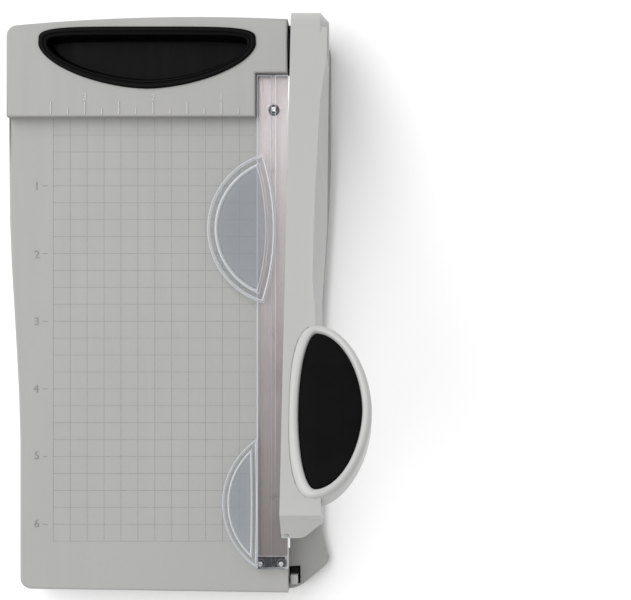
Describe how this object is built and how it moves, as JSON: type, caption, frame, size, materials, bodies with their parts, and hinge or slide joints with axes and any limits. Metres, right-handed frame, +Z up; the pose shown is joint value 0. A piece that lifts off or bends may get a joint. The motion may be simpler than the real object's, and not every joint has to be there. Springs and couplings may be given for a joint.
{
  "type": "arm paper trimmer",
  "caption": "Small arm paper trimmer: a base with a ruled deck and steel bed, a sprung clear paper guard, and a swinging blade arm with a D-shaped grip.",
  "frame": {"origin": "on the table, under the middle of the whole object's outline with the arm raised", "axes": "+X to the right as the user sees it, from the deck towards the arm; +Y away from the user, along the cutting line; +Z up"},
  "size_m": [0.1356, 0.2179, 0.1288],
  "materials": {
    "base_grey": "fine textured moulded plastic, light warm grey",
    "plate_dark": "dark moulded plastic",
    "rubber_black": "matt black rubber",
    "tray_black": "satin black moulded plastic",
    "bed_steel": "ground steel strip",
    "blade_steel": "ground steel blade",
    "bracket_steel": "pressed steel",
    "screw_steel": "zinc plated steel",
    "spring_steel": "spring steel wire",
    "guard_clear": "clear moulded plastic",
    "arm_grey": "smooth satin light grey plastic",
    "grip_grey": "smooth satin light grey plastic",
    "pad_black": "soft black grip pad",
    "latch_light": "light plastic",
    "bush_bronze": "sintered bronze"
  },
  "bodies": {
    "root": {"base_shell": "base_grey", "bottom_plate": "plate_dark", "base_screws": "screw_steel", "rubber_feet": "rubber_black", "palm_tray": "tray_black", "bed_plate": "bed_steel", "bed_screws": "screw_steel", "guard_block": "tray_black", "hinge_bracket": "bracket_steel", "bracket_screws": "screw_steel", "pivot_bolt": "screw_steel", "pivot_washer": "tray_black", "spring_washer": "spring_steel", "pivot_nut": "screw_steel", "latch_bezel": "tray_black", "arm_bumper": "rubber_black", "guard_springs": "spring_steel"},
    "guard": {"paper_guard": "guard_clear", "guard_pins": "screw_steel"},
    "latch": {"latch_tab": "latch_light"},
    "arm": {"arm_shell": "arm_grey", "arm_undercover": "arm_grey", "arm_screws": "screw_steel", "moving_blade": "blade_steel", "blade_screws": "screw_steel", "pivot_bush": "bush_bronze", "pivot_cap": "arm_grey", "grip_frame": "grip_grey", "grip_pad": "pad_black", "grip_screws": "screw_steel"}
  },
  "joints": [
    {"name": "arm_hinge", "type": "hinge", "parent": "root", "child": "arm", "pos_m": [0.0382, 0.09595, 0.02], "axis": [-1, 0, 0], "range_deg": [-30, 45]},
    {"name": "guard_press", "type": "slide", "parent": "root", "child": "guard", "axis": [0, 0, 1], "range_m": [-0.0022, 0], "stiffness_N_per_m": 150, "springref_m": 0.004, "deforming": ["guard_springs"]},
    {"name": "latch_slide", "type": "slide", "parent": "root", "child": "latch", "axis": [0, 1, 0], "range_m": [0, 0.0036]}
  ]
}
